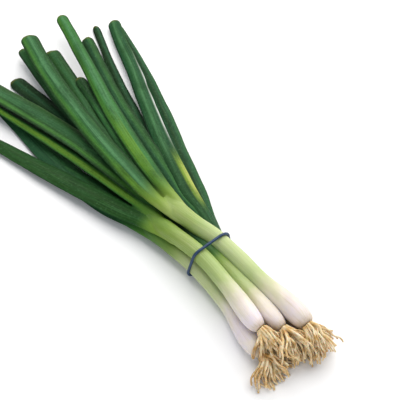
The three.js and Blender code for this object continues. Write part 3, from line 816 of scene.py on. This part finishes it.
class Finish:
    """A material that is built up node by node."""

    def __init__(self, name):
        self.material = bpy.data.materials.new(name)
        self.material.use_nodes = True
        self.nodes = self.material.node_tree.nodes
        self.links = self.material.node_tree.links
        self.shader = self.nodes["Principled BSDF"]

    def feed(self, socket, value):
        """Gives a socket another node's output, a value, or a colour by its code."""
        if isinstance(value, bpy.types.NodeSocket):
            self.links.new(value, socket)
        else:
            socket.default_value = tone(value) if isinstance(value, str) else value

    def give(self, node=None, **sockets):
        for name, value in sockets.items():
            self.feed((node or self.shader).inputs[name.replace("_", " ")], value)

    def add(self, kind, **sockets):
        node = self.nodes.new("ShaderNode" + kind)
        self.give(node, **sockets)
        return node

    def own_place(self):
        return self.add("TexCoord").outputs["Object"]

    def straight_place(self):
        node = self.add("Attribute")
        node.attribute_name = "straight_place"
        return node.outputs["Vector"]

    def parts(self, vector):
        return self.add("SeparateXYZ", Vector=vector).outputs

    def reckon(self, operation, *values):
        node = self.add("Math")
        node.operation = operation
        for socket, value in zip(node.inputs, values):
            self.feed(socket, value)
        return node.outputs[0]

    def times(self, a, b):
        return self.reckon("MULTIPLY", a, b)

    def blend(self, a, b, share):
        node = self.add("Mix")
        node.data_type = "RGBA"
        for number, value in ((0, share), (6, a), (7, b)):
            self.feed(node.inputs[number], value)
        return node.outputs[2]

    def cloud(self, vector, scale, detail=2.0, roughness=0.5, shift=(0, 0, 0)):
        """Soft noise with one scale, or drawn out by a scale for each direction."""
        if isinstance(scale, tuple):
            vector = self.add("Mapping", Vector=vector, Scale=scale, Location=shift).outputs[0]
            scale = 1.0
        node = self.add("TexNoise", Vector=vector, Scale=scale, Detail=detail, Roughness=roughness)
        return node.outputs["Fac"]

    def span(self, value, low, high, to_low=0.0, to_high=1.0, interpolation="SMOOTHSTEP"):
        node = self.add("MapRange", Value=value, From_Min=low, From_Max=high, To_Min=to_low, To_Max=to_high)
        node.interpolation_type = interpolation
        return node.outputs[0]

    def mottle(self, colour, *marks):
        """Blends colours in, each where its pattern goes from one value to another."""
        for code, pattern, low, high, most in marks:
            colour = self.blend(colour, code, self.span(pattern, low, high, 0.0, most))
        return colour

    def ramp(self, value, stops):
        node = self.add("ValToRGB", Fac=value)
        elements = node.color_ramp.elements
        for element, (position, code) in zip(elements, (stops[0], stops[-1])):
            element.position, element.color = position, tone(code)
        for position, code in stops[1:-1]:
            elements.new(position).color = tone(code)
        return node.outputs[0]

    def bump(self, height, distance, strength, **normal):
        return self.add("Bump", Height=height, Distance=distance, Strength=strength, **normal).outputs[0]


SKIN_FROM = -86.0  # stretch of an onion that the skin's colours run over, from under the band
SKIN_TO = 130.0
SKIN_TONES = [(-84, "#ecdcc2"), (-77, "#f9f0ea"), (-62, "#f9eef6"), (-47, "#f4ecdf"), (-37, "#dbdcb8"),
              (-22, "#b8ca88"), (8, "#b0c47c"), (34, "#a3b46a"), (54, "#829f40"), (72, "#557f2f"),
              (92, "#386f2b"), (116, "#245423")]
GREEN_FROM = -34  # where an onion's colours start to slide greener than the others, and where they fully have; on the inner onion that slide also paints shade
GREEN_TO = 16
WHITE_FROM = -6  # the same for its bulb's white
WHITE_TO = -30
LEAF_GREEN = (8, 38)  # stretch of a leaf over which the skin's colours give way to its own


def skin_colour(look, onion):
    """White bulb, cream and pale green shank, yellow-green neck: by place along the bunch."""
    place = look.own_place()
    y = look.parts(place)[1]
    patches = look.cloud(place, (160, 60, 160))
    along = look.reckon("ADD", y, look.reckon("MULTIPLY_ADD", patches, 22 * MM, -11 * MM))
    for amount, start, end in ((onion["greener_and_shaded"], onion.get("green_from", GREEN_FROM), GREEN_TO),
                               (-onion["whiter"], WHITE_FROM, WHITE_TO)):
        shift = look.span(y, past_band(start), past_band(end), 0.0, amount * MM)
        along = look.reckon("ADD", along, shift)
    share = look.span(along, past_band(SKIN_FROM), past_band(SKIN_TO), interpolation="LINEAR")
    stops = [((distance - SKIN_FROM) / (SKIN_TO - SKIN_FROM), code) for distance, code in SKIN_TONES]
    return look.ramp(share, stops), place, along


# colours across each leaf's upper face, with painted shade in the dark greens toward the edges and over
# leaves that lie low or hidden, and a painted highlight in the mint along a ridge: places from its right edge
# (-1) to its left edge (1), and tones
LEAF_BANDS = {
    "onion_right": (
        "-1 deep -0.7 mid -0.32 sage -0.12 mint 0.04 mint 0.18 sage 0.36 grass 0.62 fresh 0.84 moss 1 deep",
        "-1 deep -0.75 grass -0.4 leafy 0 mint 0.25 leafy 0.5 fresh 0.78 fresh 0.92 moss 1 night",
        "-1 night -0.5 deep -0.15 mid 0.15 sage 0.55 leafy 0.88 sage 1 mid"),
    "onion_middle": (
        "-1 night -0.4 deep -0.12 deep 0.06 mid 0.26 fresh 0.4 lime 0.7 lime 0.86 fresh 1 deep",
        "-1 deep -0.6 mid -0.1 moss 0.3 mid 0.72 moss 0.88 mid 1 deep"),
    "onion_inner": (
        "-1 deep -0.93 rim -0.82 moss -0.5 mid -0.15 sage 0.15 sage 0.4 mid 0.7 fresh 0.86 moss 1 night",
        "-1 deep -0.5 mid 0 sage 0.3 mid 0.7 moss 1 night",
        "-1 night -0.5 bottle 0.1 leafy 0.6 sage 1 night"),
    "onion_left": (
        "-1 sage -0.3 sage 0.4 bottle 0.9 bottle 1 deep",
        "-1 mid -0.3 sage 0.3 grass 1 mid"),
    "onion_under_left": (
        "-1 night -0.4 deep 0 bottle 0.5 deep 1 night",
        "-1 night 0 deep 1 night"),
    "onion_under_right": (
        "-1 mid -0.6 bottle -0.2 sage 0.1 mint 0.4 sage 0.75 bottle 1 night",
        "-1 night -0.7 mid -0.3 grass 0.1 bottle 0.6 deep 1 night",
        "-1 bottle -0.8 sage -0.5 bottle 0 deep 0.4 bottle 1 night",
        "-1 night -0.3 bottle 0.3 deep 1 night"),
}


# patches of another tone: (from, to) along the leaf in millimetres, (from, to) across it, tone, strength
LEAF_PATCHES = {
    "onion_right_leaf_3": [((104, 180), (-1.2, 1.5), "deep", 0.9)],
    "onion_right_leaf_1": [((0, 66), (0.2, 0.95), "lime", 0.7)],
    # the mint patch here is partly the waxy bloom and partly a painted highlight
    "onion_right_leaf_2": [((0, 112), (-0.35, 0.85), "lime", 0.8), ((70, 190), (-0.6, 0.3), "mint", 0.5)],
    "onion_middle_leaf_1": [((30, 150), (0.3, 0.9), "lime", 0.6)],
    # on this leaf the dark patch over its lower part is painted shade, and the near-white line along its
    # right edge is a painted glint
    "onion_under_right_leaf_1": [((-30, 120), (-0.5, 0.9), "deep", 0.6),
        ((22, 92), (-1.1, -0.2), "yellow", 0.85), ((28, 82), (-1.1, -0.5), "butter", 0.9),
        ((78, 196), (-1.1, -0.7), "painted_glint", 1.0)],
}


def leaf_finish(node, leaf, bands, onion, length, seed):
    look = Finish(node + "_skin")
    flat = look.straight_place()
    distance, across, up = look.parts(flat)
    place = look.own_place()

    streaks = look.cloud(flat, (14, 5.5, 5.5), 3.0, 0.6, (seed, seed * 2, 0))
    veins = look.cloud(flat, (24, 34, 18), 2.0, 0.6, (seed, 0, seed))
    ribs = look.cloud(flat, (9, 13, 9), 3.0, 0.65, (seed * 2, seed, seed))
    blotches = look.cloud(place, (70, 30, 70), 2.0, 0.55, (seed, seed, 0))
    speckle = look.cloud(place, 620, 3.0, 0.6)
    drift = look.cloud(flat, (11, 1.1, 1.1), 1.0, 0.5, (seed * 3, seed, 0))

    # long bands of colour, painted shade and painted highlight that drift a little from side to side on their
    # way
    room = look.reckon("SUBTRACT", 1.0, look.times(across, across))
    shift = look.times(look.reckon("SUBTRACT", drift, 0.5), look.times(room, 0.4))
    share = look.reckon("MULTIPLY_ADD", look.reckon("ADD", across, shift), 0.5, 0.5)
    words = bands.split()
    stops = zip(words[::2], words[1::2])
    colour = look.ramp(share, [((float(where) + 1) / 2, code) for where, code in stops])
    for (start, end), (first, last), code, strength in LEAF_PATCHES.get(node, ()):
        fade = (end - start) * 0.4
        along = look.times(look.span(distance, start * MM, (start + fade) * MM),
                           look.span(distance, (end - fade) * MM, end * MM, 1.0, 0.0))
        wide = look.times(look.span(across, first, first + 0.1),
                          look.span(across, last - 0.3, last, strength, 0.0))
        patch = look.times(along, wide)
        colour = look.blend(colour, code, look.times(patch, look.span(up, -0.05, 0.05)))
    # the underside is painted in darker greens, as shade
    underside = look.blend("deep", "mid", look.span(streaks, 0.4, 0.7))
    colour = look.blend(colour, underside, look.span(up, 0.08, -0.2))

    # streaks, worn patches and specks in the waxy bloom, and an end that dries to olive brown
    colour = look.mottle(
        colour, ("night", streaks, 0.52, 0.8, 0.55), ("mint", streaks, 0.44, 0.24, 0.3),
        ("deep", blotches, 0.5, 0.78, 0.5), ("night", speckle, 0.52, 0.72, 0.3),
        ("#6da072", speckle, 0.46, 0.28, 0.18),
        ("#77742f", distance, (length - 3.0) * MM, (length - 0.2) * MM, 0.6))

    # the wall inside the hollow is paler
    depth = look.reckon("ADD", look.reckon("ABSOLUTE", up),
                        look.reckon("POWER", look.reckon("ABSOLUTE", across), 1.6))
    inside = look.times(look.span(depth, 0.9, 0.82),
                        look.span(distance, (length - 7) * MM, (length - 6) * MM))
    colour = look.blend(colour, "#5c7a3c", inside)

    # parallel ribs and veins, and the colours of the shank at the leaf's foot
    colour = look.mottle(
        colour, ("night", ribs, 0.5, 0.74, 0.5), ("#5f954c", ribs, 0.46, 0.24, 0.3),
        ("#0f2c14", veins, 0.52, 0.75, 0.32), ("#79a84e", veins, 0.4, 0.2, 0.2))
    skin = look.mottle(skin_colour(look, onion)[0], ("#7d9c45", veins, 0.5, 0.75, 0.3))
    first_green, all_green = leaf.get("green", LEAF_GREEN)
    colour = look.blend(skin, colour, look.span(distance, first_green * MM, all_green * MM))

    look.give(Base_Color=colour, Roughness=look.span(streaks, 0.3, 0.7, 0.42, 0.56), Specular_IOR_Level=0.1,
              Normal=look.bump(streaks, 0.0005, 0.5, Normal=look.bump(veins, 0.00018, 0.6)))
    return look.material


def shank_finish(name, onion, seed):
    look = Finish(name)
    colour, place, along = skin_colour(look, onion)
    y = look.parts(place)[1]
    flat = look.straight_place()
    distance, across, _ = look.parts(flat)
    lines = look.cloud(flat, (16, 20, 20), 2.5, 0.6, (seed, 0, seed))
    wide = look.cloud(flat, (12, 3, 3), 2.0, 0.5, (seed, seed, 0))
    blush = look.cloud(place, (120, 60, 120), 2.0, 0.5, (seed, 0, 0))

    # the green shows in broad stripes and fine lines, more so at the sides
    parting = max(leaf["route"][0][1] for leaf in onion["leaves"])
    green = look.times(look.span(distance, 0.032, 0.075),
                       look.span(along, past_band(36), past_band(70), 1.0, 0.0))
    green = look.times(green, look.span(y, past_band(parting - 18), past_band(parting + 2), 1.0, 0.25))
    sides = look.span(look.reckon("ABSOLUTE", across), 0.45, 0.95, 0.0, 0.55)
    stripes = look.reckon("MAXIMUM", sides, look.span(wide, 0.5, 0.72, 0.0, 0.55))
    pale = look.times(look.span(y, past_band(-46), past_band(-20), 0.0, onion.get("pale", 0)),
                      look.span(y, past_band(2), past_band(24), 1.0, 0.0))
    for code, share in (
            ("#8cab4b", look.times(green, stripes)),
            ("#dfe6bd", look.times(green, look.span(lines, 0.45, 0.25, 0.0, 0.5))),
            ("#7d9c45", look.times(green, look.span(lines, 0.48, 0.72, 0.0, 0.7))),
            ("#16351b", look.times(look.span(lines, 0.5, 0.7, 0.0, 0.6),
                                   look.span(along, past_band(50), past_band(90)))),
            ("#dfe6b8", pale),
            # a lilac tint in the white of the bulb, cream at its foot, and tan rims by the plate
            ("#dccbd4", look.times(look.span(blush, 0.5, 0.75, 0.0, 0.4),
                                   look.span(distance, 0.045, 0.02))),
            ("#d9cfa9", look.times(look.span(lines, 0.5, 0.75, 0.0, 0.65),
                                   look.span(distance, 0.05, 0.02))),
            ("#dfd0a8", look.span(distance, 0.05, 0.025, 0.0, onion["cream"])),
            ("#c3a873", look.times(look.span(distance, 0.006, 0.001, 0.0, 0.6),
                                   look.span(lines, 0.3, 0.65, 0.35, 1.0)))):
        colour = look.blend(colour, code, share)
    look.give(Base_Color=colour, Roughness=look.span(wide, 0.3, 0.7, 0.45, 0.6), Specular_IOR_Level=0.28,
              Subsurface_Weight=0.6, Subsurface_Scale=0.006, Subsurface_Radius=(1.0, 0.9, 0.5),
              Normal=look.bump(wide, 0.0006, 0.4, Normal=look.bump(lines, 0.00016, 0.6)))
    return look.material


def root_finish():
    look = Finish("straw_root")
    place = look.own_place()
    strands = look.cloud(place, (420, 200, 340))
    clumps = look.cloud(place, (150, 80, 150))
    grain = look.cloud(place, 2600, 3.0, 0.6)
    colour = look.ramp(strands, [(0.28, "#cfa660"), (0.42, "#eccb92"), (0.53, "#fae2b4"), (0.68, "#fff0cf")])
    colour = look.mottle(colour, ("#bb8434", clumps, 0.48, 0.64, 0.5), ("#a57c40", grain, 0.58, 0.82, 0.4))
    look.give(Base_Color=colour, Roughness=0.75, Specular_IOR_Level=0.25, Subsurface_Weight=0.15,
              Subsurface_Scale=0.001, Normal=look.bump(grain, 0.0002, 0.7))
    return look.material


def rubber_finish():
    look = Finish("blue_rubber")
    place = look.own_place()
    dust = look.cloud(place, 900, 3.0, 0.6)
    grain = look.cloud(place, 4200)
    look.give(Base_Color=look.mottle("#16365a", ("#2c5680", dust, 0.4, 0.75, 0.7)),
              Roughness=look.span(dust, 0.3, 0.7, 0.42, 0.6), Specular_IOR_Level=0.5,
              Normal=look.bump(grain, 0.00008, 0.6))
    return look.material


# ---- put together
def dress(piece, skins, slot, *nodes):
    for skin in skins:
        piece.data.materials.append(skin)
    make_active(piece)
    bpy.ops.object.shade_smooth()
    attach(piece, "root")
    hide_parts(*nodes)
    start_fresh()


roots_look = root_finish()
for seed, (onion_name, onion) in enumerate(ONIONS.items(), start=1):
    sheath = sheath_piece(onion_name + "_sheath", onion, seed)
    skins = [shank_finish(onion_name + "_skin", onion, seed * 2.3)]
    for number, (leaf, bands) in enumerate(zip(onion["leaves"], LEAF_BANDS[onion_name]), start=1):
        node = f"{onion_name}_leaf_{number}"
        blade, length = leaf_piece(node + "_blade", leaf, seed * 10 + number)
        skins.append(leaf_finish(node, leaf, bands, onion, length, seed * 1.7 + number))
        dress(blade, [skins[-1]], "leaf", node)
    dress(sheath, skins, "shank", onion_name + "_shank")
    tuft = roots_piece(onion_name + "_tuft", onion, seed + 40)
    dress(tuft, [roots_look], "root", onion_name + "_roots")
dress(band_piece(), [rubber_finish()], "band", "rubber_band")


# ---- floor, light and camera
def lay_floor():
    start_fresh()
    bpy.ops.mesh.primitive_plane_add(size=6, location=(0, 0, 0))
    floor = bpy.context.object
    floor.name = "pale_floor"
    look = Finish("pale_floor")
    speck = look.cloud(look.own_place(), 60, 2.0)
    look.give(Base_Color=look.blend((0.9, 0.9, 0.9, 1), (0.93, 0.93, 0.93, 1), speck), Roughness=0.7,
              Specular_IOR_Level=0.2)
    floor.data.materials.append(look.material)
    settle(floor)


def hang_lamp(name, place, size, power, colour):
    data = given(bpy.data.lights.new(name, "AREA"), shape="DISK", size=size, energy=power, color=colour)
    lamp = linked(name, data)
    lamp.location = place
    lamp.rotation_euler = (-Vector(place)).to_track_quat("-Z", "Y").to_euler()


LAMPS = (("key", (0.66, 0.38, 0.95), 2.1, 32.5, (1.0, 0.98, 0.95)),
         ("fill", (-0.95, -0.8, 0.36), 0.8, 5.0, (0.97, 0.98, 1.0)))  # place, size, watts, colour
SKY = (0.88, 0.92, 1.0, 1)
SKY_STRENGTH = 0.38
AZIMUTH = math.radians(-38)
ELEVATION = math.radians(55)
CAMERA_DISTANCE = 0.745
AIM_HEIGHT = 12 * MM  # over the surface, under the band's top
AIM_RIGHT = 6.04 * MM  # the aim point shows this far right of the view's middle
AIM_DOWN = 37.6 * MM  # and this far below it
LENS = 100


def place_camera():
    back = Vector((math.sin(AZIMUTH) * math.cos(ELEVATION), -math.cos(AZIMUTH) * math.cos(ELEVATION),
                   math.sin(ELEVATION)))
    right = Vector((math.cos(AZIMUTH), math.sin(AZIMUTH), 0))
    up = back.cross(right)
    data = given(bpy.data.cameras.new("camera"), lens=LENS, sensor_width=36, clip_start=0.01)
    camera = linked("camera", data)
    aim = BAND_PLACE + Vector((0, 0, AIM_HEIGHT))
    camera.location = aim + back * CAMERA_DISTANCE - right * AIM_RIGHT + up * AIM_DOWN
    camera.rotation_euler = back.to_track_quat("Z", "Y").to_euler()
    bpy.context.scene.camera = camera


lay_floor()
for lamp in LAMPS:
    hang_lamp(*lamp)
world = bpy.data.worlds.new("studio")
world.use_nodes = True
sky = world.node_tree.nodes["Background"].inputs
sky["Color"].default_value = SKY
sky["Strength"].default_value = SKY_STRENGTH
bpy.context.scene.world = world
bpy.context.scene.view_settings.view_transform = "Standard"
place_camera()
